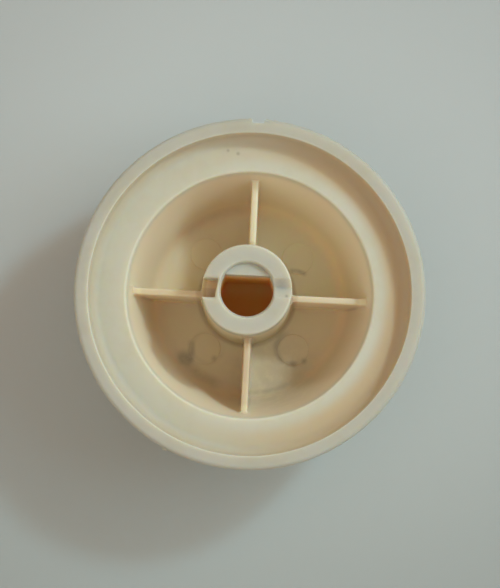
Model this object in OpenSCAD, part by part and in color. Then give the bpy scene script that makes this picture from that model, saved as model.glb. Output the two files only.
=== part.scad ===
// Control knob, moulded in one piece: the knob lies on its front face with its hollow back upwards.
// Millimetres. The origin is the middle of the front face, +Z runs up through the open back,
// and the index groove in the rim points along +Y.

/* [Overall] */
// Height from the front face to the back rim
knob_h = 18; // [15:0.5:26]
// Outer diameter of the back rim
rim_d = 41; // [39.5:0.1:46]

/* [Back rim and ledge] */
// Width of the rim, from its inner to its outer edge
rim_w = 1.65; // [1.5:0.05:2.2]
// Rounding of the rim's outer edge
rim_round = 1.2; // [0.4:0.1:1.25]
// Small rounding of the rim's inner edge
rim_inner_round = 0.22; // [0.1:0.02:0.24]
// Depth of the ledge below the rim
ledge_depth = 2.3; // [1.6:0.1:3.4]
// How far the rim's inner wall leans inwards on its way down to the ledge
rim_lean = 0.15; // [0:0.05:0.3]
// Cove between the rim's inner wall and the ledge
cove_r = 0.8; // [0.3:0.1:1.2]
// Thickness of the flange that carries the rim
flange_t = 2; // [1.4:0.1:2.6]
// Small rounding of the flange's front edge
flange_round = 0.5; // [0.2:0.1:0.7]

/* [Well] */
// Diameter of the well where it opens into the ledge
well_d = 29; // [27.5:0.1:31]
// Diameter of the well's floor
floor_d = 22.8; // [21.5:0.1:25]
// Thickness of the front wall under the well
front_t = 2.5; // [1.8:0.1:3.5]
// Rounding of the well's upper edge
well_round = 0.3; // [0.1:0.05:0.6]
// Fillet in the corner of the well's floor
floor_fillet = 0.5; // [0.2:0.1:1]

/* [Grip] */
// Thickness of the grip's wall round the well
grip_wall = 2; // [1.4:0.1:2.6]
// Rounding of the grip's front edge
front_round = 1.5; // [0.5:0.1:1.8]
// Fillet between the grip and the flange
neck_fillet = 1; // [0.3:0.1:1.4]

/* [Hub] */
// Diameter of the hub's end face
hub_d = 10.5; // [9.9:0.1:11.2]
// Diameter of the hub at the well's floor, with the mould's draft
hub_foot_d = 11.1; // [10.5:0.1:11.6]
// How far the hub stands above the rim
hub_proud = 0.5; // [0:0.1:2]
// Rounding of the hub's outer edge
hub_round = 0.25; // [0.1:0.05:0.5]
// How far the hub stands off the rim's centre along X, as moulded
hub_off_x = -0.35; // [-0.5:0.05:0.5]
// How far the hub stands off the rim's centre along Y, as moulded
hub_off_y = 0.45; // [-0.5:0.05:0.5]

/* [Shaft socket] */
// Diameter of the shaft
shaft_d = 6; // [5.6:0.1:6.4]
// Size of the shaft across its flat
shaft_flat = 4.6; // [4.2:0.1:5]
// Gap between the shaft and the socket, all round
socket_gap = 0.1; // [0.05:0.01:0.15]
// Depth of the socket from the hub's end face
socket_depth = 14.5; // [9:0.5:14.5]
// How much wider the round lead-in is at its mouth than the bore, all round
lead_flare = 0.2; // [0.1:0.05:0.35]
// Depth of the lead-in, down to the end of the flat
lead_depth = 0.8; // [0.4:0.1:1.2]

/* [Slot and notch in the hub] */
// Width of the slot in the hub's wall
slot_w = 2.2; // [1.6:0.1:2.6]
// Depth of the slot
slot_depth = 5; // [2:0.5:6]
// Wall left between the slot and the lead-in, at the slot's thin side
slot_wall_thin = 0.25; // [0.2:0.05:0.4]
// Wall left between the slot and the lead-in, at the slot's thick side
slot_wall_thick = 0.6; // [0.4:0.05:0.8]
// Depth of the shallow notch across from the slot
notch_depth = 0.4; // [0.2:0.05:0.8]
// Length of the notch's steep side
notch_steep = 0.6; // [0.3:0.1:1]
// Length of the notch's gentle side
notch_gentle = 1.3; // [0.8:0.1:1.8]
// Land between the notch and the hub's outer edge
notch_land = 0.4; // [0.3:0.05:0.6]

/* [Ribs] */
// Number of ribs between the hub and the well's wall
rib_count = 4; // [3:1:8]
// Thickness of a rib along its upper edge
rib_t = 0.65; // [0.5:0.05:1]
// Thickness of a rib at the well's floor
rib_foot_t = 0.9; // [0.9:0.05:1.4]
// Depth of the ribs' upper edges below the ledge
rib_depth = 2.8; // [1:0.1:5]

/* [Marks of the mould] */
// Width of the index groove in the rim
groove_w = 1.4; // [0.8:0.1:2]
// Depth of the index groove
groove_depth = 0.5; // [0.3:0.05:0.7]
// Radius of the fine ridges on the skirt
ridge_r = 0.22; // [0.15:0.01:0.3]
// How far the fine ridges stand out of the skirt
ridge_proud = 0.12; // [0.05:0.01:0.15]
// Diameter of the ejector pads on the well's floor
pad_d = 3.8; // [2.5:0.1:4.2]
// Distance of the ejector pads from the knob's centre
pad_reach = 7.9; // [7.7:0.1:8.2]
// Height of the ejector pads
pad_h = 0.2; // [0.1:0.05:0.4]

/* [Hidden] */

CREAM = [0.93, 0.90, 0.79];
// Segments in a full circle
round_fn = 96;
// How far a cutting or joining shape runs past the face it meets
over = 0.4;
// Directions of the two fine ridges at the lower left of the skirt
ridge_angles = [213, 244];
// How far the fine ridges end short of the roundings above and below them
ridge_short = 0.15;

rim_r = rim_d / 2;
rim_inner_r = rim_r - rim_w;
ledge_z = knob_h - ledge_depth;
flange_z = ledge_z - flange_t;
well_r = well_d / 2;
floor_r = floor_d / 2;
// Radius that the well's wall gains for each millimetre of height
well_slope = (well_r - floor_r) / (ledge_z - front_t);
// Outer face of the grip: the well's wall moved out by the grip's wall
grip_top_r = well_r + grip_wall - well_slope * flange_t;
grip_front_r = floor_r + grip_wall - well_slope * front_t;

hub_r = hub_d / 2;
hub_foot_r = hub_foot_d / 2;
hub_z = knob_h + hub_proud;
bore_r = shaft_d / 2 + socket_gap;
flat_y = shaft_flat - shaft_d / 2 + socket_gap;
lead_r = bore_r + lead_flare;
rib_z = ledge_z - rib_depth;

function unit(v) = v / norm(v);
function well_r_at(z) = floor_r + well_slope * (z - front_t);

// The sliver between the corner p and an arc that touches the lines from p to a and from p to b
module corner_sliver(p, a, b, r) {
    u = unit(a - p);
    v = unit(b - p);
    half = acos(u * v) / 2;
    reach = r / tan(half);
    centre = p + unit(u + v) * r / sin(half);
    difference() {
        polygon([p - (u + v) * over, p + u * reach, centre, p + v * reach]);
        translate(centre) circle(r, $fn = round_fn);
    }
}

// Half section of the shell, from the axis outwards: front wall, grip, flange, rim, ledge and well
module shell_section() {
    axis_front = [0, 0];
    front_edge = [grip_front_r, 0];
    neck = [grip_top_r, flange_z];
    flange_edge = [rim_r, flange_z];
    rim_outer = [rim_r, knob_h];
    rim_inner = [rim_inner_r, knob_h];
    cove = [rim_inner_r - rim_lean, ledge_z];
    well_edge = [well_r, ledge_z];
    floor_corner = [floor_r, front_t];
    axis_floor = [0, front_t];
    difference() {
        union() {
            polygon([axis_front, front_edge, neck, flange_edge, rim_outer, rim_inner,
                     cove, well_edge, floor_corner, axis_floor]);
            corner_sliver(neck, front_edge, flange_edge, neck_fillet);
            corner_sliver(cove, rim_inner, well_edge, cove_r);
            corner_sliver(floor_corner, well_edge, axis_floor, floor_fillet);
        }
        corner_sliver(front_edge, axis_front, neck, front_round);
        corner_sliver(flange_edge, neck, rim_outer, flange_round);
        corner_sliver(rim_outer, flange_edge, rim_inner, rim_round);
        corner_sliver(rim_inner, rim_outer, cove, rim_inner_round);
        corner_sliver(well_edge, cove, floor_corner, well_round);
    }
}

module shell() {
    rotate_extrude($fn = round_fn) shell_section();
}

// The hub, a drafted post from inside the front wall to its end face
module hub() {
    foot = [hub_foot_r, front_t];
    end_edge = [hub_r, hub_z];
    translate([hub_off_x, hub_off_y, 0])
        rotate_extrude($fn = round_fn)
            difference() {
                polygon([[0, front_t - over], [hub_foot_r, front_t - over], foot, end_edge, [0, hub_z]]);
                corner_sliver(end_edge, foot, [0, hub_z], hub_round);
            }
}

// One rib along +X, thicker at its foot, that runs from inside the hub into the well's wall
module rib() {
    rotate([90, 0, 90])
        linear_extrude(height = well_r)
            polygon([[-rib_foot_t / 2, front_t - over], [rib_foot_t / 2, front_t - over],
                     [rib_t / 2, rib_z], [-rib_t / 2, rib_z]]);
}

module ribs() {
    intersection() {
        for (i = [0 : rib_count - 1]) rotate(90 + i * 360 / rib_count) rib();
        cylinder(h = rib_z, r1 = well_r_at(0) + over, r2 = well_r_at(rib_z) + over, $fn = round_fn);
    }
}

// Raised pads on the well's floor, one in the middle of each bay between two ribs
module pads() {
    for (i = [0 : rib_count - 1])
        rotate(90 + (i + 0.5) * 360 / rib_count)
            translate([pad_reach, 0, front_t - over])
                cylinder(h = over + pad_h, d = pad_d, $fn = round_fn / 2);
}

// A fine upright ridge on the outside of the skirt
module ridge(angle) {
    rotate(angle)
        translate([rim_r + ridge_proud - ridge_r, 0, flange_z + flange_round + ridge_short])
            cylinder(h = ledge_depth + flange_t - flange_round - rim_round - 2 * ridge_short,
                     r = ridge_r, $fn = 24);
}

module ridges() {
    groove_half = asin((groove_w / 2 + ridge_r) / rim_r);
    for (angle = concat(ridge_angles, [90 - groove_half, 90 + groove_half])) ridge(angle);
}

// Socket for a shaft with one flat: a round lead-in, then the D-shaped bore
module shaft_socket() {
    translate([hub_off_x, hub_off_y, 0]) {
        translate([0, 0, hub_z - lead_depth])
            cylinder(h = lead_depth, r1 = bore_r, r2 = lead_r, $fn = round_fn);
        translate([0, 0, hub_z])
            cylinder(h = over, r = lead_r, $fn = round_fn);
        translate([0, 0, hub_z - socket_depth])
            linear_extrude(height = socket_depth)
                difference() {
                    circle(bore_r, $fn = round_fn);
                    translate([-bore_r, flat_y]) square([2 * bore_r, bore_r]);
                }
    }
}

// Slot through the outside of the hub on the -X side; its inner end leans across the slot
module hub_slot() {
    lead_x = sqrt(pow(lead_r, 2) - pow(slot_w / 2, 2));
    outside_x = hub_foot_r + over;
    translate([hub_off_x, hub_off_y, hub_z - slot_depth])
        linear_extrude(height = slot_depth + over)
            polygon([[-outside_x, -slot_w / 2], [-lead_x - slot_wall_thick, -slot_w / 2],
                     [-lead_x - slot_wall_thin, slot_w / 2], [-outside_x, slot_w / 2]]);
}

// Shallow notch in the hub's end face on the +X side: a steep side, then a gentle ramp
module hub_notch() {
    translate([hub_off_x, hub_off_y, hub_z])
        rotate([90, 0, 90])
            linear_extrude(height = hub_r - notch_land)
                polygon([[notch_steep, -notch_depth], [2 * notch_steep, 0], [2 * notch_steep, over],
                         [notch_steep - notch_gentle, over], [notch_steep - notch_gentle, 0]]);
}

// Index groove down the skirt, in line with the flat of the socket
module index_groove() {
    translate([-groove_w / 2, rim_r - groove_depth, flange_z - over])
        cube([groove_w, groove_depth + 2 * ridge_r + over, ledge_depth + flange_t + 2 * over]);
}

module knob() {
    color(CREAM)
        difference() {
            union() {
                shell();
                hub();
                ribs();
                pads();
                ridges();
            }
            shaft_socket();
            hub_slot();
            hub_notch();
            index_groove();
        }
}

knob();
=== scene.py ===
"""Control knob in cream plastic, lying on its front face with its hollow back up.

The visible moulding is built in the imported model's own frame: +Z runs up out of the open back, and
the index groove in the rim points along +Y. Sizes are in millimetres in the classes, and meshes
are in metres.
"""

import logging
import math
from dataclasses import dataclass, field
from enum import Enum
from functools import partial, reduce
from typing import Sequence

import bmesh
import bpy
from mathutils import Matrix, Vector


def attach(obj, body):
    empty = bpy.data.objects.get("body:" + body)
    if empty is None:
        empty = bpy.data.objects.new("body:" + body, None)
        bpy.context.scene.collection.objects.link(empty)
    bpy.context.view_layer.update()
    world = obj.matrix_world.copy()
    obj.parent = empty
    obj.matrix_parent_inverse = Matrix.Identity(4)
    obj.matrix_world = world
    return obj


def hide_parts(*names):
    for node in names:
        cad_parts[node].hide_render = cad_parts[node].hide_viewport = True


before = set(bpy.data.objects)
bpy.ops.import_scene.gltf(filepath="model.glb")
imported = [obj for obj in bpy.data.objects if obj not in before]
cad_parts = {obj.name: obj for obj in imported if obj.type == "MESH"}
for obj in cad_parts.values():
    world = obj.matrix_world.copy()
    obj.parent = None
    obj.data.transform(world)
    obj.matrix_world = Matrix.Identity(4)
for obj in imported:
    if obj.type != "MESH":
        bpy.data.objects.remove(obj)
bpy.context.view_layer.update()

MM = 0.001
PHOTO_WIDTH_PX = 500
PHOTO_HEIGHT_PX = 588
# How far the knob is turned clockwise in the photograph
PHOTO_TURN_DEG = 2.9
# A radius below this lies on the axis
ON_AXIS = 1e-9
# Least cosine of half a corner's turn that a moved outline still follows
SHARPEST = 0.4
# How far a fillet's foot runs out under the well's floor
SUNK = 0.02
# Turn between two points of a very small rounding
COARSE_DEG = 30.0

Point2 = tuple[float, float]
Point3 = tuple[float, float, float]
Colour = tuple[float, float, float]

log = logging.getLogger("knob")


# Shapes


def put(name: str, data: bpy.types.ID) -> bpy.types.Object:
    """Puts an object with the given data into the scene.

    Args:
        name: The object's name.
        data: Its mesh, light or camera.

    Returns:
        The object.
    """
    made = bpy.data.objects.new(name, data)
    bpy.context.scene.collection.objects.link(made)
    return made


class Joint(Enum):
    """How a tool shape is worked into a body."""

    ADD = "UNION"
    CUT = "DIFFERENCE"


@dataclass(frozen=True)
class Corner:
    """A corner of a flat section, and the radius that rounds it."""

    a: float
    b: float
    radius: float = 0.0


@dataclass
class Skin:
    """A closed surface as points in millimetres and faces."""

    points: list[Point3] = field(default_factory=list)
    faces: list[tuple[int, ...]] = field(default_factory=list)

    def to_object(self, name: str) -> bpy.types.Object:
        """Makes a mesh object in metres, with all its faces turned outwards.

        Args:
            name: The object's name.

        Returns:
            The object, linked to the scene.
        """
        mesh = bpy.data.meshes.new(name)
        mesh.from_pydata([tuple(c * MM for c in p) for p in self.points], [], self.faces)
        shape = bmesh.new()
        shape.from_mesh(mesh)
        bmesh.ops.recalc_face_normals(shape, faces=shape.faces)
        shape.to_mesh(mesh)
        shape.free()
        return put(name, mesh)


def rounded(corners: Sequence[Corner], closed: bool, step_deg: float = 12.0) -> list[Point2]:
    """Rounds the corners of a flat line or outline.

    Args:
        corners: The corners in order.
        closed: Whether the last corner joins the first.
        step_deg: Largest turn between two points of a rounding.

    Returns:
        The points of the rounded line.
    """
    points: list[Point2] = []
    count = len(corners)
    for i, corner in enumerate(corners):
        here = Vector((corner.a, corner.b))
        at_end = not closed and i in (0, count - 1)
        if corner.radius <= 0 or at_end:
            points.append((here.x, here.y))
            continue
        before, after = corners[i - 1], corners[(i + 1) % count]
        u = (Vector((before.a, before.b)) - here).normalized()
        v = (Vector((after.a, after.b)) - here).normalized()
        half = u.angle(v) / 2
        reach = corner.radius / math.tan(half)
        centre = here + (u + v).normalized() * corner.radius / math.sin(half)
        start, end = here + u * reach - centre, here + v * reach - centre
        turn = math.pi - 2 * half
        steps = max(2, math.ceil(math.degrees(turn) / step_deg))
        sign = 1.0 if start.x * end.y - start.y * end.x > 0 else -1.0
        for k in range(steps + 1):
            angle = sign * turn * k / steps
            c, s = math.cos(angle), math.sin(angle)
            points.append((centre.x + start.x * c - start.y * s,
                           centre.y + start.x * s + start.y * c))
    return points


def offset_outline(outline: Sequence[Point2], distance: float) -> list[Point2]:
    """Moves a closed outline outwards along its corner normals.

    Args:
        outline: Points in anticlockwise order.
        distance: How far each side moves.

    Returns:
        The moved outline, with as many points.
    """
    moved: list[Point2] = []
    count = len(outline)
    for i in range(count):
        p, q, r = (Vector(outline[(i + k) % count]) for k in (-1, 0, 1))
        a, b = (q - p).normalized(), (r - q).normalized()
        normal = Vector((a.y + b.y, -a.x - b.x)).normalized()
        stretch = 1 / max(SHARPEST, normal.dot(Vector((a.y, -a.x))))
        moved.append(tuple(q + normal * distance * stretch))
    return moved


def lathe(path: Sequence[Point2], segments: int, centre: Point2 = (0.0, 0.0)) -> Skin:
    """Turns a half section about an upright axis.

    Args:
        path: Radius and height pairs, whose first and last points lie on the axis.
        segments: Number of steps round the axis.
        centre: Where the axis stands.

    Returns:
        The closed surface.
    """
    skin = Skin()
    rings: list[list[int]] = []
    for radius, height in path:
        first = len(skin.points)
        if radius < ON_AXIS:
            skin.points.append((centre[0], centre[1], height))
            rings.append([first] * segments)
            continue
        for k in range(segments):
            angle = math.tau * k / segments
            skin.points.append((centre[0] + radius * math.cos(angle),
                                centre[1] + radius * math.sin(angle), height))
        rings.append(list(range(first, first + segments)))
    for low, high in zip(rings, rings[1:]):
        for k in range(segments):
            n = (k + 1) % segments
            face = dict.fromkeys((low[k], low[n], high[n], high[k]))
            skin.faces.append(tuple(face))
    return skin


def loft(rings: Sequence[Sequence[Point3]]) -> Skin:
    """Joins closed rings of equal length into a capped tube.

    Args:
        rings: The rings in order, each with its points in the same turn.

    Returns:
        The closed surface.
    """
    skin = Skin()
    count = len(rings[0])
    for ring in rings:
        skin.points.extend(ring)
    for j in range(len(rings) - 1):
        for k in range(count):
            n = (k + 1) % count
            low, high = j * count, (j + 1) * count
            skin.faces.append((low + k, low + n, high + n, high + k))
    last = (len(rings) - 1) * count
    skin.faces.append(tuple(range(count)))
    skin.faces.append(tuple(range(last, last + count)))
    return skin


def flared_prism(outline: Sequence[Point2], low: float, lip: float, high: float,
                 flare: float, steps: int = 4) -> Skin:
    """An upright prism whose sides curve outwards up to a lip, to cut a hole with a round edge.

    Args:
        outline: The prism's outline, anticlockwise.
        low: Height of its lower end.
        lip: Height of the surface that it cuts into.
        high: Height of its upper end, above the lip.
        flare: Radius of the round edge.
        steps: Number of steps in the curve.

    Returns:
        The closed surface.
    """
    levels = [(0.0, low)]
    for k in range(steps + 1):
        angle = math.pi / 2 * k / steps
        levels.append((flare * (1 - math.cos(angle)), lip - flare * (1 - math.sin(angle))))
    levels.append((flare, high))
    return loft([[(x, y, z) for x, y in offset_outline(outline, d)] for d, z in levels])


def work(body: bpy.types.Object, tool: bpy.types.Object, joint: Joint) -> None:
    """Adds a tool shape to a body or cuts it out, and deletes the tool.

    Args:
        body: The object that is changed.
        tool: The shape that is added or cut out.
        joint: Which of the two.
    """
    modifier = body.modifiers.new(joint.name, "BOOLEAN")
    modifier.operation = joint.value
    modifier.solver = "MANIFOLD"
    modifier.object = tool
    evaluated = body.evaluated_get(bpy.context.evaluated_depsgraph_get())
    mesh = bpy.data.meshes.new_from_object(evaluated)
    body.modifiers.clear()
    old, body.data = body.data, mesh
    bpy.data.meshes.remove(old)
    spent = tool.data
    bpy.data.objects.remove(tool)
    bpy.data.meshes.remove(spent)


# Sub-assemblies of the moulding
# The fields called bury, over, over_side and brim are what a tool shape has to spare inside or
# outside the body, where nothing of it shows


@dataclass(frozen=True)
class Shell:
    """The turned body: front wall, grip, flange, rim, ledge and well."""

    height: float = 18.0
    rim_r: float = 20.5
    rim_w: float = 1.65
    rim_round: float = 0.45
    rim_inner_round: float = 0.12
    rim_lean: float = 0.15
    ledge_z: float = 15.7
    ledge_fall: float = 0.45
    cove_r: float = 1.2
    flange_z: float = 13.7
    flange_round: float = 0.5
    well_r: float = 14.5
    well_round: float = 0.3
    floor_r: float = 11.4
    floor_z: float = 2.5
    floor_fillet: float = 1.8
    grip_wall: float = 2.0
    front_round: float = 1.5
    neck_fillet: float = 1.0
    segments: int = 288

    @property
    def slope(self) -> float:
        """Radius that the well's wall gains for each millimetre of height."""
        return (self.well_r - self.floor_r) / (self.ledge_z - self.floor_z)

    @property
    def rim_inner_r(self) -> float:
        """Radius of the rim's inner edge."""
        return self.rim_r - self.rim_w

    def wall_r(self, z: float) -> float:
        """Radius of the well's wall at height z."""
        return self.floor_r + self.slope * (z - self.floor_z)

    def build(self) -> bpy.types.Object:
        """Turns the section into the body that the rest is worked into.

        Returns:
            The body.
        """
        section = [
            Corner(0, 0),
            Corner(self.wall_r(0) + self.grip_wall, 0, self.front_round),
            Corner(self.wall_r(self.flange_z) + self.grip_wall, self.flange_z, self.neck_fillet),
            Corner(self.rim_r, self.flange_z, self.flange_round),
            Corner(self.rim_r, self.height, self.rim_round),
            Corner(self.rim_inner_r, self.height, self.rim_inner_round),
            Corner(self.rim_inner_r - self.rim_lean, self.ledge_z - self.ledge_fall, self.cove_r),
            Corner(self.well_r, self.ledge_z, self.well_round),
            Corner(self.floor_r, self.floor_z, self.floor_fillet),
            Corner(0, self.floor_z),
        ]
        return lathe(rounded(section, closed=False), self.segments).to_object("moulding")


@dataclass(frozen=True)
class Hub:
    """The post in the well's middle that takes the shaft."""

    end_r: float = 5.25
    foot_r: float = 5.55
    end_z: float = 18.5
    end_round: float = 0.25
    foot_fillet: float = 0.4
    foot_margin: float = 0.3
    bury: float = 0.5
    centre: Point2 = (-0.35, 0.45)
    segments: int = 144

    def radius(self, z: float, floor_z: float) -> float:
        """Radius of the drafted post at height z."""
        return self.foot_r + (self.end_r - self.foot_r) * (z - floor_z) / (self.end_z - floor_z)

    def around(self, outline: Sequence[Point2]) -> list[Point2]:
        """An outline about the hub's axis, moved to where the hub stands."""
        return [(x + self.centre[0], y + self.centre[1]) for x, y in outline]

    def reach(self, angle: float, z: float, floor_z: float) -> float:
        """Distance from the knob's axis to the post's surface.

        Args:
            angle: Direction in radians.
            z: Height.
            floor_z: Height of the well's floor.

        Returns:
            The distance in millimetres.
        """
        along = self.centre[0] * math.cos(angle) + self.centre[1] * math.sin(angle)
        aside = self.centre[1] * math.cos(angle) - self.centre[0] * math.sin(angle)
        return along + math.sqrt(self.radius(z, floor_z) ** 2 - aside ** 2)

    def build(self, floor_z: float) -> bpy.types.Object:
        """Turns the post, whose foot fillet runs out just under the floor.

        Args:
            floor_z: Height of the well's floor.

        Returns:
            The post.
        """
        buried, sunk = floor_z - self.bury, floor_z - SUNK
        foot_end = self.foot_r + self.foot_fillet + self.foot_margin
        section = [
            Corner(0, buried),
            Corner(foot_end, buried),
            Corner(foot_end, sunk),
            Corner(self.foot_r, sunk, self.foot_fillet),
            Corner(self.end_r, self.end_z, self.end_round),
            Corner(0, self.end_z),
        ]
        path = rounded(section, closed=False)
        return lathe(path, self.segments, self.centre).to_object("hub")


@dataclass(frozen=True)
class Ribs:
    """The thin ribs between the hub and the well's wall."""

    count: int = 4
    top_t: float = 0.75
    foot_t: float = 0.95
    top_z: float = 12.9
    top_round: float = 0.2
    top_step_deg: float = 18.0
    fillet: float = 0.35
    fillet_steps: int = 5
    bury: float = 0.6
    bury_foot: float = 0.4

    def fillet_gaps(self) -> list[float]:
        """Distances from the wall that a fillet meets at which it gets points."""
        return [self.fillet * k / self.fillet_steps for k in range(self.fillet_steps + 1)]

    def widening(self, gap: float) -> float:
        """What a fillet adds to a rib's half width, at a gap from the wall that it meets."""
        inside = max(self.fillet - max(gap, 0.0), 0.0)
        return self.fillet - math.sqrt(self.fillet ** 2 - inside ** 2)

    def section(self, floor_z: float) -> list[Point2]:
        """Half of a rib's section from its foot up to the middle of its upper edge.

        Args:
            floor_z: Height of the well's floor.

        Returns:
            Half width and height pairs, without the fillets.
        """
        top, foot = self.top_t / 2, self.foot_t / 2

        def half_width(z: float) -> float:
            """Half of the rib's thickness at height z."""
            return foot + (top - foot) * (z - floor_z) / (self.top_z - floor_z)

        heights = [floor_z - self.bury_foot, floor_z - SUNK]
        heights += [floor_z + gap for gap in self.fillet_gaps()]
        side = [(half_width(z), z) for z in heights]
        edge = rounded([Corner(*side[-1]), Corner(top, self.top_z, self.top_round),
                        Corner(0, self.top_z)], closed=False, step_deg=self.top_step_deg)
        return side[:-1] + edge

    def build_one(self, turn: float, shell: Shell, hub: Hub) -> bpy.types.Object:
        """Builds one rib, from inside the hub into the well's wall.

        Args:
            turn: The rib's direction in radians.
            shell: The body, for the well's wall and floor.
            hub: The post.

        Returns:
            The rib.
        """
        half = self.section(shell.floor_z)
        viewer_side_shade = [-self.bury, *self.fillet_gaps()]
        stations = [("hub", gap) for gap in viewer_side_shade] + [("wall", gap) for gap in reversed(viewer_side_shade)]
        c, s = math.cos(turn), math.sin(turn)
        rings: list[list[Point3]] = []
        for side, gap in stations:
            ring: list[Point2 | Point3] = []
            for width, z in half:
                start = hub.reach(turn, z, shell.floor_z)
                end = shell.wall_r(z)
                x = start + gap if side == "hub" else end - gap
                above = max(z - shell.floor_z, 0.0)
                full = width + max(self.widening(gap), self.widening(above))
                full = full if width > 0 else 0.0
                ring.append((x, full, z))
            mirror = [(x, -w, z) for x, w, z in reversed(ring) if w > 0]
            rings.append([(x * c - y * s, x * s + y * c, z) for x, y, z in ring + mirror])
        return loft(rings).to_object("rib")

    def build(self, shell: Shell, hub: Hub) -> list[bpy.types.Object]:
        """Builds all the ribs, the first of them towards the index groove."""
        turns = [math.pi / 2 + math.tau * i / self.count for i in range(self.count)]
        return [self.build_one(turn, shell, hub) for turn in turns]


@dataclass(frozen=True)
class EjectorPads:
    """Low round pads on the well's floor, where the ejector pins pushed."""

    diameter: float = 3.8
    reach: float = 7.9
    height: float = 0.12
    angles_deg: tuple[float, ...] = (45.0, 135.0, 229.0, 315.0)
    edge_round: float = 0.08
    bury: float = 0.3
    segments: int = 48

    def build(self, floor_z: float) -> list[bpy.types.Object]:
        """Builds the pads.

        Args:
            floor_z: Height of the floor that they lie on.

        Returns:
            The pads.
        """
        buried, top, edge = floor_z - self.bury, floor_z + self.height, self.diameter / 2
        section = [Corner(0, buried), Corner(edge, buried),
                   Corner(edge, top, self.edge_round), Corner(0, top)]
        path = rounded(section, closed=False, step_deg=COARSE_DEG)
        pads = []
        for angle in map(math.radians, self.angles_deg):
            centre = (self.reach * math.cos(angle), self.reach * math.sin(angle))
            pads.append(lathe(path, self.segments, centre).to_object("pad"))
        return pads


@dataclass(frozen=True)
class SkirtRidges:
    """Fine upright ridges on the outside of the skirt."""

    radius: float = 0.3
    low_z: float = 14.35
    high_z: float = 17.4
    at_deg: tuple[float, ...] = (213.0, 244.0)
    proud: tuple[float, ...] = (0.17, 0.26)
    groove_proud: float = 0.12
    end_round: float = 0.1
    segments: int = 24

    def build(self, rim_r: float, groove_w: float) -> list[bpy.types.Object]:
        """Builds the ridges.

        Args:
            rim_r: Radius of the skirt.
            groove_w: Width of the index groove, which two of the ridges flank.

        Returns:
            The ridges.
        """
        beside = math.degrees(math.asin((groove_w / 2 + self.radius) / rim_r))
        section = [Corner(0, self.low_z), Corner(self.radius, self.low_z, self.end_round),
                   Corner(self.radius, self.high_z, self.end_round), Corner(0, self.high_z)]
        path = rounded(section, closed=False, step_deg=COARSE_DEG)
        places = [*zip(self.at_deg, self.proud),
                  *((angle, self.groove_proud) for angle in (90 - beside, 90 + beside))]
        ridges = []
        for angle_deg, proud in places:
            angle, out = math.radians(angle_deg), rim_r + proud - self.radius
            centre = (out * math.cos(angle), out * math.sin(angle))
            ridges.append(lathe(path, self.segments, centre).to_object("ridge"))
        return ridges


@dataclass(frozen=True)
class ShaftSocket:
    """The socket for a shaft with one flat: a round lead-in, then the D-shaped bore."""

    bore_r: float = 3.1
    flat_y: float = 1.7
    depth: float = 14.5
    lead_flare: float = 0.2
    lead_depth: float = 0.8
    lead_foot_round: float = 0.12
    lead_round: float = 0.25
    mouth_round: float = 0.1
    arc_steps: int = 72
    segments: int = 144
    bore_over: float = 0.3
    brim: float = 0.8
    brim_rise: float = 0.001
    over: float = 0.5

    def outline(self) -> list[Point2]:
        """The D-shaped outline about the hub's centre.

        Returns:
            Points in anticlockwise order.
        """
        half = math.acos(self.flat_y / self.bore_r)
        start, span = math.pi / 2 + half, math.tau - 2 * half
        turns = [start + span * k / self.arc_steps for k in range(self.arc_steps + 1)]
        return [(self.bore_r * math.cos(turn), self.bore_r * math.sin(turn)) for turn in turns]

    def build(self, hub: Hub) -> list[bpy.types.Object]:
        """Builds the shapes that are cut out of the hub.

        Args:
            hub: The post.

        Returns:
            The bore and its lead-in.
        """
        mouth, top = hub.end_z - self.lead_depth, hub.end_z + self.over
        bore = flared_prism(hub.around(self.outline()), hub.end_z - self.depth, mouth,
                            mouth + self.bore_over, self.mouth_round)
        lead_r = self.bore_r + self.lead_flare
        section = [Corner(0, mouth), Corner(self.bore_r, mouth, self.lead_foot_round),
                   Corner(lead_r, hub.end_z, self.lead_round),
                   Corner(lead_r + self.brim, hub.end_z + self.brim_rise),
                   Corner(lead_r + self.brim, top), Corner(0, top)]
        lead = lathe(rounded(section, closed=False), self.segments, hub.centre)
        return [bore.to_object("bore"), lead.to_object("lead")]


@dataclass(frozen=True)
class HubSlot:
    """The slot through the outside of the hub on its -X side, with a leaning inner end."""

    width: float = 2.2
    depth: float = 5.0
    wall_thin: float = 0.25
    wall_thick: float = 0.6
    corner_round: float = 0.12
    lip_round: float = 0.4
    over_side: float = 0.6
    over: float = 0.4

    def build(self, hub: Hub, socket: ShaftSocket) -> bpy.types.Object:
        """Builds the shape that is cut out of the hub.

        Args:
            hub: The post.
            socket: The socket in it, from which the slot keeps a thin wall.

        Returns:
            The slot.
        """
        half = self.width / 2
        lead_x = math.sqrt((socket.bore_r + socket.lead_flare) ** 2 - half ** 2)
        outside = -hub.foot_r - self.over_side
        corners = [Corner(outside, -half),
                   Corner(-lead_x - self.wall_thick, -half, self.corner_round),
                   Corner(-lead_x - self.wall_thin, half, self.corner_round),
                   Corner(outside, half)]
        outline = hub.around(rounded(corners, closed=True))
        return flared_prism(outline, hub.end_z - self.depth, hub.end_z, hub.end_z + self.over,
                            self.lip_round).to_object("slot")


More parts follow.
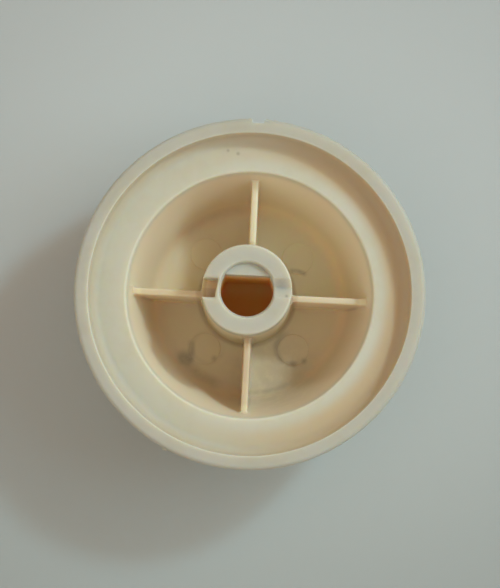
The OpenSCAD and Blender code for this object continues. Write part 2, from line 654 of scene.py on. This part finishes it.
@dataclass(frozen=True)
class HubNotch:
    """The shallow notch in the hub's end on its +X side: a steep side, then a gentle ramp."""

    depth: float = 0.7
    steep_top: float = 1.5
    foot: float = 0.45
    gentle_top: float = -0.8
    foot_round: float = 0.3
    lip_round: float = 0.25
    over_side: float = 0.5
    lip_rise: float = 0.1
    over: float = 0.4

    def build(self, hub: Hub) -> bpy.types.Object:
        """Builds the shape that is cut out of the hub.

        Args:
            hub: The post.

        Returns:
            The notch.
        """
        steep_end, gentle_end = self.steep_top + self.over_side, self.gentle_top - self.over_side
        section = [Corner(self.foot, -self.depth, self.foot_round),
                   Corner(self.steep_top, 0, self.lip_round),
                   Corner(steep_end, self.lip_rise), Corner(steep_end, self.over),
                   Corner(gentle_end, self.over), Corner(gentle_end, self.lip_rise),
                   Corner(self.gentle_top, 0, self.lip_round)]
        outline = [(y + hub.centre[1], z + hub.end_z) for y, z in rounded(section, closed=True)]
        ends = (hub.centre[0], hub.end_r + self.over_side + hub.centre[0])
        return loft([[(x, y, z) for y, z in outline] for x in ends]).to_object("notch")


@dataclass(frozen=True)
class IndexGroove:
    """The groove down the skirt, in line with the socket's flat."""

    width: float = 1.4
    depth: float = 0.5
    corner_round: float = 0.15
    over_side: float = 1.0
    over: float = 0.4

    def build(self, shell: Shell) -> bpy.types.Object:
        """Builds the shape that is cut out of the skirt.

        Args:
            shell: The body.

        Returns:
            The groove.
        """
        half, floor_y = self.width / 2, shell.rim_r - self.depth
        outside = shell.rim_r + self.over_side
        corners = [Corner(-half, floor_y, self.corner_round),
                   Corner(half, floor_y, self.corner_round),
                   Corner(half, outside), Corner(-half, outside)]
        outline = rounded(corners, closed=True)
        ends = (shell.flange_z - self.over, shell.height + self.over)
        return loft([[(x, y, z) for x, y in outline] for z in ends]).to_object("groove")


# Finishes


def srgb(red: int, green: int, blue: int) -> Colour:
    """A screen colour in the linear values that shaders take.

    Args:
        red: Red from 0 to 255.
        green: Green from 0 to 255.
        blue: Blue from 0 to 255.

    Returns:
        The linear colour.
    """

    def linear(value: int) -> float:
        """One channel's linear value."""
        share = value / 255
        return share / 12.92 if share <= 0.04045 else ((share + 0.055) / 1.055) ** 2.4

    return linear(red), linear(green), linear(blue)


class Along(Enum):
    """What a limit runs along."""

    X = "place along X"
    Y = "place along Y"
    Z = "height"
    RADIUS = "distance from the knob's axis"
    OFF_WALL = "distance from the knob's axis, less what the well's wall leans out"
    OFF_RIBS = "distance from the nearer of the ribs' two lines"
    HUB_Y = "place along Y from the hub's axis"
    HUB_RADIUS = "distance from the hub's axis"


@dataclass(frozen=True)
class Limit:
    """A smooth step: where it starts and ends, counted from an edge, and its values there."""

    along: Along
    edge: float
    low: float
    high: float
    start: float = 0.0
    end: float = 1.0


Area = tuple[Limit, ...]
Places = dict[Along, bpy.types.NodeSocket]


class NodeSheet:
    """Adds nodes to a material or world and links them by the names of their sockets."""

    def __init__(self, owner: bpy.types.Material | bpy.types.World) -> None:
        """Empties the owner's node tree.

        Args:
            owner: The material or world that gets the nodes.
        """
        owner.use_nodes = True
        self.tree = owner.node_tree
        self.tree.nodes.clear()

    def node(self, kind: str, settings: dict | None = None, **inputs: object) -> bpy.types.Node:
        """Adds a node.

        Args:
            kind: The node's type without the ShaderNode in front.
            settings: Attributes of the node to set first.
            **inputs: Values or sockets for its inputs, with _ for each space in a name.

        Returns:
            The node.
        """
        made = self.tree.nodes.new("ShaderNode" + kind)
        for name, value in (settings or {}).items():
            setattr(made, name, value)
        for name, value in inputs.items():
            self.plug(made.inputs[name.replace("_", " ")], value)
        return made

    def plug(self, socket: bpy.types.NodeSocket, value: object) -> None:
        """Links a socket or sets its value.

        Args:
            socket: The input.
            value: Another node's output, or a number or colour.
        """
        if isinstance(value, bpy.types.NodeSocket):
            self.tree.links.new(value, socket)
        elif isinstance(value, tuple) and len(value) == 3 and socket.type == "RGBA":
            socket.default_value = (*value, 1.0)
        else:
            socket.default_value = value

    def math(self, operation: str, a: object, b: object = 0.0) -> bpy.types.NodeSocket:
        """The result of a Math node.

        Args:
            operation: The node's operation.
            a: First value or socket.
            b: Second value or socket.

        Returns:
            The node's output.
        """
        made = self.node("Math", {"operation": operation})
        self.plug(made.inputs[0], a)
        self.plug(made.inputs[1], b)
        return made.outputs[0]

    def length(self, a: object, b: object) -> bpy.types.NodeSocket:
        """The length of a flat vector with the parts a and b."""
        squares = [self.math("POWER", part, 2.0) for part in (a, b)]
        return self.math("SQRT", self.math("ADD", *squares))

    def product(self, *factors: object) -> bpy.types.NodeSocket:
        """Several values multiplied together."""
        return reduce(partial(self.math, "MULTIPLY"), factors)

    def inside(self, places: Places, area: Area) -> bpy.types.NodeSocket:
        """How far a point is inside an area, from 0 to 1.

        Args:
            places: The point's places.
            area: The limits, which all hold together.

        Returns:
            The result's socket.
        """
        return self.product(*(self.ramp(places[limit.along], limit.edge + limit.low,
                                        limit.edge + limit.high, limit.start, limit.end)
                              for limit in area))

    def soft_shader(self, see_through_mm: Colour, settings: dict | None = None,
                    **inputs: object) -> bpy.types.Node:
        """Adds a shader that lets light through just under its surface, and shows it.

        Args:
            see_through_mm: How far red, green and blue reach.
            settings: Attributes of the shader to set first.
            **inputs: Values or sockets for its inputs.

        Returns:
            The shader.
        """
        shader = self.node("BsdfPrincipled", settings, **inputs)
        for name, value in (("Weight", 1.0), ("Radius", see_through_mm), ("Scale", MM)):
            shader.inputs["Subsurface " + name].default_value = value
        output = self.node("OutputMaterial")
        self.plug(output.inputs["Surface"], shader.outputs["BSDF"])
        return shader

    def ramp(self, value: object, low: float, high: float,
             start: float = 0.0, end: float = 1.0) -> bpy.types.NodeSocket:
        """Smooth step from start, where value is low, to end, where it is high.

        Args:
            value: The value or socket that is followed.
            low: Where the step starts.
            high: Where the step ends.
            start: Result at low.
            end: Result at high.

        Returns:
            The result's socket.
        """
        made = self.node("MapRange", {"interpolation_type": "SMOOTHSTEP"}, Value=value,
                         From_Min=low, From_Max=high, To_Min=start, To_Max=end)
        return made.outputs["Result"]

    def mix(self, factor: object, a: object, b: object,
            blend: str = "MIX") -> bpy.types.NodeSocket:
        """A mix of two colours.

        Args:
            factor: Share of the second colour.
            a: First colour or socket.
            b: Second colour or socket.
            blend: How the second colour is laid on.

        Returns:
            The mixed colour's socket.
        """
        made = self.tree.nodes.new("ShaderNodeMix")
        made.data_type = "RGBA"
        made.blend_type = blend
        # The colour sockets stand behind those for numbers and vectors, under the same names
        for index, value in ((0, factor), (6, a), (7, b)):
            self.plug(made.inputs[index], value)
        return made.outputs[2]

    def noise(self, where: object, scale: float, detail: float = 2.0,
              roughness: float = 0.5) -> bpy.types.NodeSocket:
        """Soft noise from 0 to 1.

        Args:
            where: The place's socket.
            scale: Spots for each unit of place.
            detail: Octaves.
            roughness: Strength of the finer octaves.

        Returns:
            The noise's socket.
        """
        made = self.node("TexNoise", Vector=where, Scale=scale, Detail=detail, Roughness=roughness)
        return made.outputs["Fac"]


class Zone(Enum):
    """Which part of the moulding a mark lies on."""

    FLOOR = "the well's floor"
    WELL = "the whole well"
    TOP = "the ledge and the hub's end"


@dataclass(frozen=True)
class Mark:
    """A dark line, bent round a centre, or a smudge where its reach is nothing; most are dirt, some
    are painted shade.
    """

    centre: Point2
    strength: float
    width: float
    reach: float = 0.0
    middle_deg: float = 0.0
    half_deg: float = 180.0
    zone: Zone = Zone.FLOOR

    def share(self, sheet: NodeSheet, x: object, y: object) -> bpy.types.NodeSocket:
        """The share of the dark mark at a place.

        Args:
            sheet: The material's nodes.
            x: Place along X in millimetres.
            y: Place along Y in millimetres.

        Returns:
            The share's socket.
        """
        aside = sheet.math("SUBTRACT", x, self.centre[0])
        above = sheet.math("SUBTRACT", y, self.centre[1])
        away = sheet.length(aside, above)
        off = sheet.math("ABSOLUTE", sheet.math("SUBTRACT", away, self.reach))
        share = sheet.ramp(off, self.width, 0.0, 0.0, self.strength)
        if self.reach == 0.0 or self.half_deg >= 180.0:
            return share
        middle = math.radians(self.middle_deg)
        along = sheet.math("ADD", sheet.product(aside, math.cos(middle)),
                           sheet.product(above, math.sin(middle)))
        across = sheet.math("SUBTRACT", sheet.product(above, math.cos(middle)),
                            sheet.product(aside, math.sin(middle)))
        turned = sheet.math("ABSOLUTE", sheet.math("ARCTAN2", across, along))
        half = math.radians(self.half_deg)
        return sheet.product(share, sheet.ramp(turned, half, 0.5 * half))


@dataclass(frozen=True)
class Tone:
    """A colour and the areas that it is laid on, and where it gives way to a paler one."""

    colour: Colour
    areas: tuple[Area, ...]
    blend: str = "MIX"
    pale: Colour = (1.0, 1.0, 1.0)
    pale_area: Area = ()

    def lay(self, sheet: NodeSheet, places: Places,
            under: bpy.types.NodeSocket) -> bpy.types.NodeSocket:
        """Lays the tone over a colour.

        Args:
            sheet: The material's nodes.
            places: The shaded point's places.
            under: The colour so far.

        Returns:
            The new colour's socket.
        """
        shares = [sheet.inside(places, area) for area in self.areas]
        tone: object = self.colour
        if self.pale_area:
            tone = sheet.mix(sheet.inside(places, self.pale_area), tone, self.pale)
        return sheet.mix(reduce(partial(sheet.math, "MAXIMUM"), shares), under, tone, self.blend)


@dataclass(frozen=True)
class CreamPlastic:
    """Satin cream plastic, a bit yellowed, with painted glow in the well and socket, painted shade
    on several parts, and dark marks of dirt and painted shade.
    """

    cream: Colour = srgb(202, 201, 180)
    yellowed: Colour = srgb(199, 196, 171)
    # Darker multiplier for the rim, the outside and the hub; on the rim's outer edge it is painted
    # shade
    darker_and_edge_shade: Colour = (0.80, 0.82, 0.86)
    # Painted shade for the corner between rim and ledge, and for the rim's shadow on the ledge
    cove_shadow: Colour = srgb(201, 180, 139)
    # Painted glow in the well, and a paler one for its +X +Y bay
    well_glow: Colour = srgb(239, 222, 185)
    well_glow_bright_bay: Colour = srgb(248, 235, 201)
    # Painted shade on the well's wall
    wall_shade: Colour = (0.89, 0.90, 0.88)
    # Painted shade on the hub's side
    post_side_shade: Colour = (0.84, 0.80, 0.74)
    # Painted shade on the ribs
    rib_shade: Colour = (0.84, 0.81, 0.85)
    # Painted glow in the socket: orange standing in for light let through the hub's wall; the paler
    # colour after it is a painted lit strip at the flat
    bore: Colour = srgb(255, 199, 112)
    socket_glow_at_flat: Colour = srgb(255, 222, 150)
    # Colour of the dark marks: dirt in most, painted shade in some
    grime_and_shade: Colour = srgb(88, 66, 42)
    # Spots for each millimetre, octaves and strength of the finer octaves
    cloud: tuple[float, ...] = (0.16, 3.0)
    mottle: tuple[float, ...] = (0.9, 4.0, 0.6)
    grain: tuple[float, ...] = (9.0, 3.0, 0.6)
    cloud_share: float = 0.65
    aged: Point2 = (0.40, 0.70)
    patchy: tuple[float, ...] = (0.25, 0.6, 0.6, 1.0)
    roughness: float = 0.52
    roughness_spread: float = 0.12
    bump: float = 0.25
    bump_mm: float = 0.06
    grain_share: float = 0.25
    ior: float = 1.49
    gloss: float = 0.35
    see_through_mm: Colour = (2.6, 1.7, 0.9)
    marks: tuple[Mark, ...] = (
        # Dark crescent round the lower and left side of the pad in the +X -Y bay: painted shadow of
        # the raised pad, with dirt
        Mark(centre=(5.4, -5.4), strength=0.25, width=0.6, reach=1.9, middle_deg=205,
             half_deg=120),
        Mark(centre=(5.7, -7.3), strength=0.3, width=0.6),
        Mark(centre=(7.0, -6.9), strength=0.3, width=0.6),
        Mark(centre=(-4.8, -5.8), strength=0.08, width=0.5, reach=1.9, middle_deg=230,
             half_deg=160),
        Mark(centre=(-14.8, -6.4), strength=0.3, width=0.7, reach=8.0, half_deg=12),
        Mark(centre=(-7.5, -7.2), strength=0.35, width=1.4),
        Mark(centre=(-4.0, -7.1), strength=0.25, width=0.6),
        # Dark lines along the floor's edge in three bays
        Mark(centre=(0, 0), strength=0.22, width=1.2, reach=10.8, middle_deg=236, half_deg=22),
        Mark(centre=(0, 0), strength=0.12, width=0.9, reach=11.4, middle_deg=116, half_deg=28),
        Mark(centre=(0, 0), strength=0.18, width=0.5, reach=11.1, middle_deg=285, half_deg=20),
        Mark(centre=(5.3, 1.6), strength=0.35, width=0.45, reach=2.5, middle_deg=80, half_deg=30),
        # Painted shade: a broad darkening over the well's +X -Y bay
        Mark(centre=(3.2, -8.8), strength=0.3, width=8.0, zone=Zone.WELL),
        Mark(centre=(-2.2, 16.6), strength=0.45, width=0.35, zone=Zone.TOP),
        Mark(centre=(-3.4, 16.9), strength=0.35, width=0.3, zone=Zone.TOP),
        Mark(centre=(4.3, -0.1), strength=0.4, width=0.3, zone=Zone.TOP),
        # Painted shade on the steep side of the hub's notch
        Mark(centre=(3.7, 1.35), strength=0.22, width=1.3, zone=Zone.TOP),
    )

    @staticmethod
    def within(shell: Shell) -> Area:
        """All that lies inside the body's wall, so that its outside stays plain."""
        return (Limit(Along.Z, 0.0, 1.0, 2.0),
                Limit(Along.OFF_WALL, shell.wall_r(0), 1.2, 0.6))

    def well(self, shell: Shell) -> Area:
        """The well below the ledge."""
        return (*self.within(shell), Limit(Along.RADIUS, shell.well_r, 0.4, -0.6),
                Limit(Along.Z, shell.ledge_z, 0.0, -1.5, 0.0, 0.88))

    def tones(self, shell: Shell, hub: Hub, socket: ShaftSocket) -> list[Tone]:
        """Says which tones lie where on the moulding.

        Args:
            shell: The body.
            hub: The post.
            socket: The socket in it.

        Returns:
            The tones in the order in which they are laid.
        """
        within, well, rim = self.within(shell), self.well(shell), shell.rim_inner_r
        below_flange = Limit(Along.Z, shell.flange_z, 1.2, 0.6)
        off_floor = Limit(Along.Z, shell.floor_z, 1.0, 3.0)
        cove_shadow_area = (Limit(Along.RADIUS, rim, 0.5, 0.2), Limit(Along.Z, shell.height, -0.1, -0.5),
                   Limit(Along.Z, shell.ledge_z, -1.0, -0.6))
        return [
            # Darker tone on the rim and the whole outside
            Tone(self.darker_and_edge_shade, ((Limit(Along.RADIUS, rim, -0.35, -0.05),),
                                (Limit(Along.Z, 0.0, 2.0, 1.0), below_flange),
                                (Limit(Along.OFF_WALL, shell.wall_r(0), 0.6, 1.2), below_flange)),
                 "MULTIPLY"),
            # Painted shade on the rim's outer edge, where its rounding faces the lamps
            Tone(self.darker_and_edge_shade, ((Limit(Along.RADIUS, shell.rim_r, -0.6, -0.2, 0.0, 0.8),
                                 Limit(Along.Z, shell.height, -1.5, -0.4)),), "MULTIPLY"),
            # Darker tone on the hub
            Tone(self.darker_and_edge_shade, ((*within, off_floor,
                                 Limit(Along.HUB_RADIUS, hub.end_r, 0.6, 0.3, 0.0, 0.7)),),
                 "MULTIPLY"),
            # Painted shade in the corner between rim and ledge all round, and the rim's painted
            # shadow on the ledge, strongest on the +X side
            Tone(self.cove_shadow, ((*cove_shadow_area, Limit(Along.RADIUS, shell.rim_r, -5.3, -3.7),
                              Limit(Along.X, 0.0, -12.0, 12.0, 0.05, 0.85)),
                             (*cove_shadow_area, Limit(Along.RADIUS, rim, -1.6, -0.2, 0.0, 0.5)))),
            # Painted glow in the well: a paler, warmer colour standing in for light let through the
            # plastic and thrown about in the hollow, paler still in the +X +Y bay
            Tone(self.well_glow, (well,), pale=self.well_glow_bright_bay,
                 pale_area=(Limit(Along.X, 0.0, -1.5, 1.5), Limit(Along.Y, 0.0, -1.5, 1.5))),
            # Painted shade on the well's wall
            Tone(self.wall_shade, ((*well, Limit(Along.Z, shell.floor_z, 0.6, 3.6)),), "MULTIPLY"),
            # Painted shade on the ribs, less on the one towards +Y
            Tone(self.rib_shade, ((*well, off_floor, Limit(Along.OFF_RIBS, 0.0, 0.8, 0.6),
                                 Limit(Along.Y, 0.0, 5.0, 2.0, 0.45, 1.0),
                                 Limit(Along.RADIUS, shell.floor_r, 1.8, 1.2)),), "MULTIPLY"),
            # Painted shade on the hub's side below its end
            Tone(self.post_side_shade, ((*within, Limit(Along.HUB_RADIUS, hub.foot_r, 0.7, 0.3),
                                 Limit(Along.HUB_RADIUS, hub.end_r, -0.5, -0.3),
                                 Limit(Along.Z, hub.end_z, -0.4, -1.6)),), "MULTIPLY"),
            # Painted glow in the socket, with a painted lit strip at its flat
            Tone(self.bore, ((*within, Limit(Along.HUB_RADIUS, socket.bore_r, 0.35, 0.05),
                              Limit(Along.Z, hub.end_z, -0.5, -8.0)),), pale=self.socket_glow_at_flat,
                 pale_area=(Limit(Along.HUB_Y, socket.flat_y, -2.4, -0.4),)),
        ]

    def zones(self, shell: Shell) -> dict[Zone, Area]:
        """Says which area each of the marks' zones is.

        Args:
            shell: The body.

        Returns:
            The area of each zone.
        """
        on_floor = (*self.within(shell), Limit(Along.Z, shell.floor_z, 2.2, 1.6))
        return {Zone.FLOOR: on_floor, Zone.WELL: self.well(shell),
                Zone.TOP: (Limit(Along.Z, shell.flange_z, 0.8, 1.2),)}

    def places(self, sheet: NodeSheet, point: object, shell: Shell, hub: Hub) -> Places:
        """Works out where the shaded point lies, in millimetres.

        Args:
            sheet: The material's nodes.
            point: The point.
            shell: The body.
            hub: The post.

        Returns:
            The socket of each place.
        """
        split = sheet.node("SeparateXYZ", Vector=point)
        x, y, z = (split.outputs[i] for i in range(3))
        hub_x, hub_y = (sheet.math("SUBTRACT", a, c) for a, c in zip((x, y), hub.centre))
        radius = sheet.length(x, y)
        return {
            Along.X: x, Along.Y: y, Along.Z: z, Along.RADIUS: radius,
            Along.OFF_WALL: sheet.math("SUBTRACT", radius, sheet.product(z, shell.slope)),
            Along.OFF_RIBS: sheet.math("MINIMUM", sheet.math("ABSOLUTE", x),
                                       sheet.math("ABSOLUTE", y)),
            Along.HUB_Y: hub_y, Along.HUB_RADIUS: sheet.length(hub_x, hub_y),
        }

    def material(self, shell: Shell, hub: Hub, socket: ShaftSocket) -> bpy.types.Material:
        """Builds the material from places on the moulding.

        Args:
            shell: The body.
            hub: The post.
            socket: The socket in it.

        Returns:
            The material.
        """
        made = bpy.data.materials.new("cream_plastic")
        sheet = NodeSheet(made)
        coordinates = sheet.node("TexCoord").outputs["Object"]
        scaled = sheet.node("VectorMath", {"operation": "SCALE"}, Vector=coordinates, Scale=1 / MM)
        point = scaled.outputs["Vector"]
        places = self.places(sheet, point, shell, hub)
        cloud, mottle, grain = (sheet.noise(point, *one)
                                for one in (self.cloud, self.mottle, self.grain))
        age = sheet.math("ADD", sheet.product(cloud, self.cloud_share),
                         sheet.product(mottle, 1 - self.cloud_share))
        colour = sheet.mix(sheet.ramp(age, *self.aged), self.cream, self.yellowed)
        for tone in self.tones(shell, hub, socket):
            colour = tone.lay(sheet, places, colour)
        patchy = sheet.ramp(mottle, *self.patchy)
        zones = self.zones(shell)
        for mark in self.marks:
            share = mark.share(sheet, places[Along.X], places[Along.Y])
            share = sheet.product(share, sheet.inside(places, zones[mark.zone]), patchy)
            colour = sheet.mix(share, colour, self.grime_and_shade)

        rough = sheet.math("ADD", self.roughness - self.roughness_spread / 2,
                           sheet.product(mottle, self.roughness_spread))
        height = sheet.math("ADD", sheet.product(grain, self.grain_share),
                            sheet.product(mottle, 1 - self.grain_share))
        bump = sheet.node("Bump", Strength=self.bump, Distance=self.bump_mm * MM, Height=height)
        shader = sheet.soft_shader(self.see_through_mm, Base_Color=colour, Roughness=rough,
                                   Normal=bump.outputs["Normal"])
        shader.inputs["IOR"].default_value = self.ior
        shader.inputs["Specular IOR Level"].default_value = self.gloss
        return made


@dataclass(frozen=True)
class PaleTable:
    """The pale surface under the knob, with painted shade towards the viewer and a painted pool of
    light round the knob.
    """

    pale: Colour = srgb(190, 195, 188)
    # Painted shade towards the viewer
    viewer_side_shade: Colour = srgb(171, 177, 169)
    viewer_shade_mm: Point2 = (35.0, -45.0)
    # Painted pool of light round the knob
    light_pool_mm: Point2 = (18.0, 55.0)
    light_pool_fall: float = 0.2
    cloud_tone: Colour = srgb(128, 128, 118)
    cloud_share: float = 0.06
    # Spots for each metre, and octaves
    cloud: Point2 = (14.0, 2.0)
    grain: Point2 = (900.0, 3.0)
    bump: float = 0.1
    bump_mm: float = 0.1
    roughness: float = 0.7
    see_through_mm: Colour = (12.0, 6.0, 4.0)

    def material(self) -> bpy.types.Material:
        """Builds the table's material.

        Returns:
            The material.
        """
        made = bpy.data.materials.new("pale_table")
        sheet = NodeSheet(made)
        place = sheet.node("NewGeometry").outputs["Position"]
        split = sheet.node("SeparateXYZ", Vector=place)
        # Painted shade: the table darkens towards the viewer
        viewer_shade = sheet.ramp(split.outputs["Y"], self.viewer_shade_mm[0] * MM, self.viewer_shade_mm[1] * MM)
        away = sheet.node("VectorMath", {"operation": "LENGTH"}, Vector=place).outputs["Value"]
        # Painted pool of light: the table darkens away from the knob
        light_pool = sheet.ramp(away, self.light_pool_mm[0] * MM, self.light_pool_mm[1] * MM, 0.0, self.light_pool_fall)
        clouds = sheet.product(sheet.noise(place, *self.cloud), self.cloud_share)
        colour = sheet.mix(viewer_shade, self.pale, self.viewer_side_shade)
        colour = sheet.mix(clouds, colour, self.cloud_tone)
        colour = sheet.mix(light_pool, colour, (0.0, 0.0, 0.0))
        bump = sheet.node("Bump", Strength=self.bump, Distance=self.bump_mm * MM,
                          Height=sheet.noise(place, *self.grain))
        sheet.soft_shader(self.see_through_mm, {"subsurface_method": "BURLEY"}, Base_Color=colour,
                          Roughness=self.roughness, Normal=bump.outputs["Normal"])
        return made


# The whole moulding


@dataclass
class Moulding:
    """The knob as one moulded piece, put together from its sub-assemblies."""

    shell: Shell = Shell()
    hub: Hub = Hub()
    ribs: Ribs = Ribs()
    pads: EjectorPads = EjectorPads()
    ridges: SkirtRidges = SkirtRidges()
    socket: ShaftSocket = ShaftSocket()
    slot: HubSlot = HubSlot()
    notch: HubNotch = HubNotch()
    groove: IndexGroove = IndexGroove()
    finish: CreamPlastic = CreamPlastic()
    sharp_deg: float = 34.0

    def build(self) -> bpy.types.Object:
        """Builds the moulding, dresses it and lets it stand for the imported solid.

        Returns:
            The visible piece.
        """
        body = self.shell.build()
        added = [self.hub.build(self.shell.floor_z), *self.ribs.build(self.shell, self.hub),
                 *self.pads.build(self.shell.floor_z),
                 *self.ridges.build(self.shell.rim_r, self.groove.width)]
        for tool in added:
            self.report(tool)
            work(body, tool, Joint.ADD)
        cut = [*self.socket.build(self.hub), self.slot.build(self.hub, self.socket),
               self.notch.build(self.hub), self.groove.build(self.shell)]
        for tool in cut:
            self.report(tool)
            work(body, tool, Joint.CUT)
        self.report(body)
        self.dress(body)
        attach(body, "root")
        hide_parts("knob")
        return body

    def dress(self, body: bpy.types.Object) -> None:
        """Smooths the shading between the sharp edges and gives the piece its finish.

        Args:
            body: The moulding.
        """
        body.data.shade_smooth()
        body.data.set_sharp_from_angle(angle=math.radians(self.sharp_deg))
        body.data.materials.clear()
        body.data.materials.append(self.finish.material(self.shell, self.hub, self.socket))

    @staticmethod
    def report(piece: bpy.types.Object) -> None:
        """Logs a piece's faces, volume and open edges.

        Args:
            piece: The piece.
        """
        shape = bmesh.new()
        shape.from_mesh(piece.data)
        open_edges = sum(not e.is_manifold for e in shape.edges)
        log.info("%s: %d faces, %.1f mm3, %d open edges", piece.name, len(shape.faces),
                 shape.calc_volume(signed=True) / MM ** 3, open_edges)
        shape.free()


# The studio


@dataclass(frozen=True)
class Lamp:
    """A round lamp above the table, described by how its light falls on the knob."""

    name: str
    azimuth_deg: float
    elevation_deg: float
    width_deg: float
    level: float
    colour: Colour
    distance: float

    def build(self) -> bpy.types.Object:
        """Places the lamp, with the power that gives its level at the table.

        Returns:
            The lamp.
        """
        azimuth = math.radians(self.azimuth_deg + PHOTO_TURN_DEG)
        elevation = math.radians(self.elevation_deg)
        towards = Vector((math.cos(azimuth) * math.cos(elevation),
                          math.sin(azimuth) * math.cos(elevation), math.sin(elevation)))
        data = bpy.data.lights.new(self.name, "AREA")
        data.shape = "DISK"
        data.size = 2 * self.distance * math.tan(math.radians(self.width_deg) / 2)
        data.energy = self.level * (math.pi * self.distance) ** 2 / math.sin(elevation)
        data.color = self.colour
        lamp = put(self.name, data)
        lamp.location = towards * self.distance
        lamp.rotation_mode = "QUATERNION"
        lamp.rotation_quaternion = towards.to_track_quat("Z", "Y")
        log.info("%s: %.2f W, %.0f mm wide", self.name, data.energy, data.size / MM)
        return lamp


@dataclass(frozen=True)
class Studio:
    """The table, the lamps and the soft light from all round."""

    table: PaleTable = PaleTable()
    lamps: tuple[Lamp, ...] = (
        Lamp("window_lamp", azimuth_deg=37.0, elevation_deg=46.0, width_deg=6.5, level=0.27,
             colour=(0.76, 0.90, 1.0), distance=0.7),
        Lamp("soft_lamp", azimuth_deg=12.0, elevation_deg=46.0, width_deg=36.0, level=0.225,
             colour=(0.64, 0.87, 1.0), distance=0.5),
        Lamp("fill_lamp", azimuth_deg=225.0, elevation_deg=50.0, width_deg=50.0, level=0.08,
             colour=(1.0, 0.94, 0.88), distance=0.5),
    )
    sky: Colour = (1.0, 0.85, 0.77)
    sky_level: float = 0.571
    backdrop: Colour = srgb(190, 194, 188)
    table_size: float = 3.0
    table_gap_mm: float = 0.02

    def build(self) -> None:
        """Builds everything round the knob."""
        half = self.table_size / 2
        mesh = bpy.data.meshes.new("table")
        mesh.from_pydata([(-half, -half, 0), (half, -half, 0), (half, half, 0), (-half, half, 0)],
                         [], [(0, 1, 2, 3)])
        table = put("table", mesh)
        table.location.z = -self.table_gap_mm * MM
        mesh.materials.append(self.table.material())
        for lamp in self.lamps:
            lamp.build()
        self.build_sky()

    def build_sky(self) -> None:
        """Makes the even light from all round, and the pale backdrop that the camera sees."""
        world = bpy.data.worlds.new("room")
        sheet = NodeSheet(world)
        path = sheet.node("LightPath")
        seen = sheet.math("MAXIMUM", path.outputs["Is Camera Ray"],
                          sheet.math("MAXIMUM", path.outputs["Is Glossy Ray"],
                                     path.outputs["Is Transmission Ray"]))
        light = sheet.node("Background", Color=self.sky, Strength=self.sky_level)
        seen_as = sheet.node("Background", Color=self.backdrop, Strength=1.0)
        both = sheet.node("MixShader", Fac=seen)
        sheet.plug(both.inputs[1], light.outputs["Background"])
        sheet.plug(both.inputs[2], seen_as.outputs["Background"])
        output = sheet.node("OutputWorld")
        sheet.plug(output.inputs["Surface"], both.outputs["Shader"])
        bpy.context.scene.world = world


@dataclass(frozen=True)
class PhotoCamera:
    """The camera at the photograph's place: almost straight above, a little towards the viewer."""

    rim_px_per_mm: float = 8.6
    distance_mm: float = 300.0
    tilt_deg: float = 3.8
    aim_mm: Point3 = (0.0, 0.0, 18.0)
    aim_px: Point2 = (249.7, 293.6)
    sensor_mm: float = 36.0
    clip: Point2 = (0.01, 10.0)

    def build(self, scene: bpy.types.Scene) -> bpy.types.Object:
        """Places the camera and makes it the scene's.

        Args:
            scene: The scene.

        Returns:
            The camera.
        """
        turn, tilt = math.radians(PHOTO_TURN_DEG), math.radians(self.tilt_deg)
        up = Vector((-math.sin(turn), math.cos(turn), 0))
        right = Vector((math.cos(turn), math.sin(turn), 0))
        back = Vector((0, 0, math.cos(tilt))) - up * math.sin(tilt)
        seen_up = Vector((0, 0, math.sin(tilt))) + up * math.cos(tilt)
        aside = (PHOTO_WIDTH_PX / 2 - self.aim_px[0]) / self.rim_px_per_mm
        above = (self.aim_px[1] - PHOTO_HEIGHT_PX / 2) / self.rim_px_per_mm
        middle = Vector(self.aim_mm) + right * aside + seen_up * above
        data = bpy.data.cameras.new("photo_camera")
        data.sensor_width = self.sensor_mm
        data.lens = self.sensor_mm * self.distance_mm * self.rim_px_per_mm / PHOTO_HEIGHT_PX
        data.clip_start, data.clip_end = self.clip
        camera = put("photo_camera", data)
        camera.location = (middle + back * self.distance_mm) * MM
        camera.rotation_mode = "QUATERNION"
        basis = [[right[i], seen_up[i], back[i]] for i in range(3)]
        camera.rotation_quaternion = Matrix(basis).to_quaternion()
        scene.camera = camera
        return camera


def main() -> None:
    """Builds the knob, the studio and the camera, in that order."""
    logging.basicConfig(level=logging.INFO, format="%(name)s: %(message)s")
    scene = bpy.context.scene
    scene.view_settings.view_transform = "Standard"
    moulding = Moulding().build()
    log.info("moulding built: %s", moulding.name)
    Studio().build()
    PhotoCamera().build(scene)


if __name__ == "__main__":
    main()
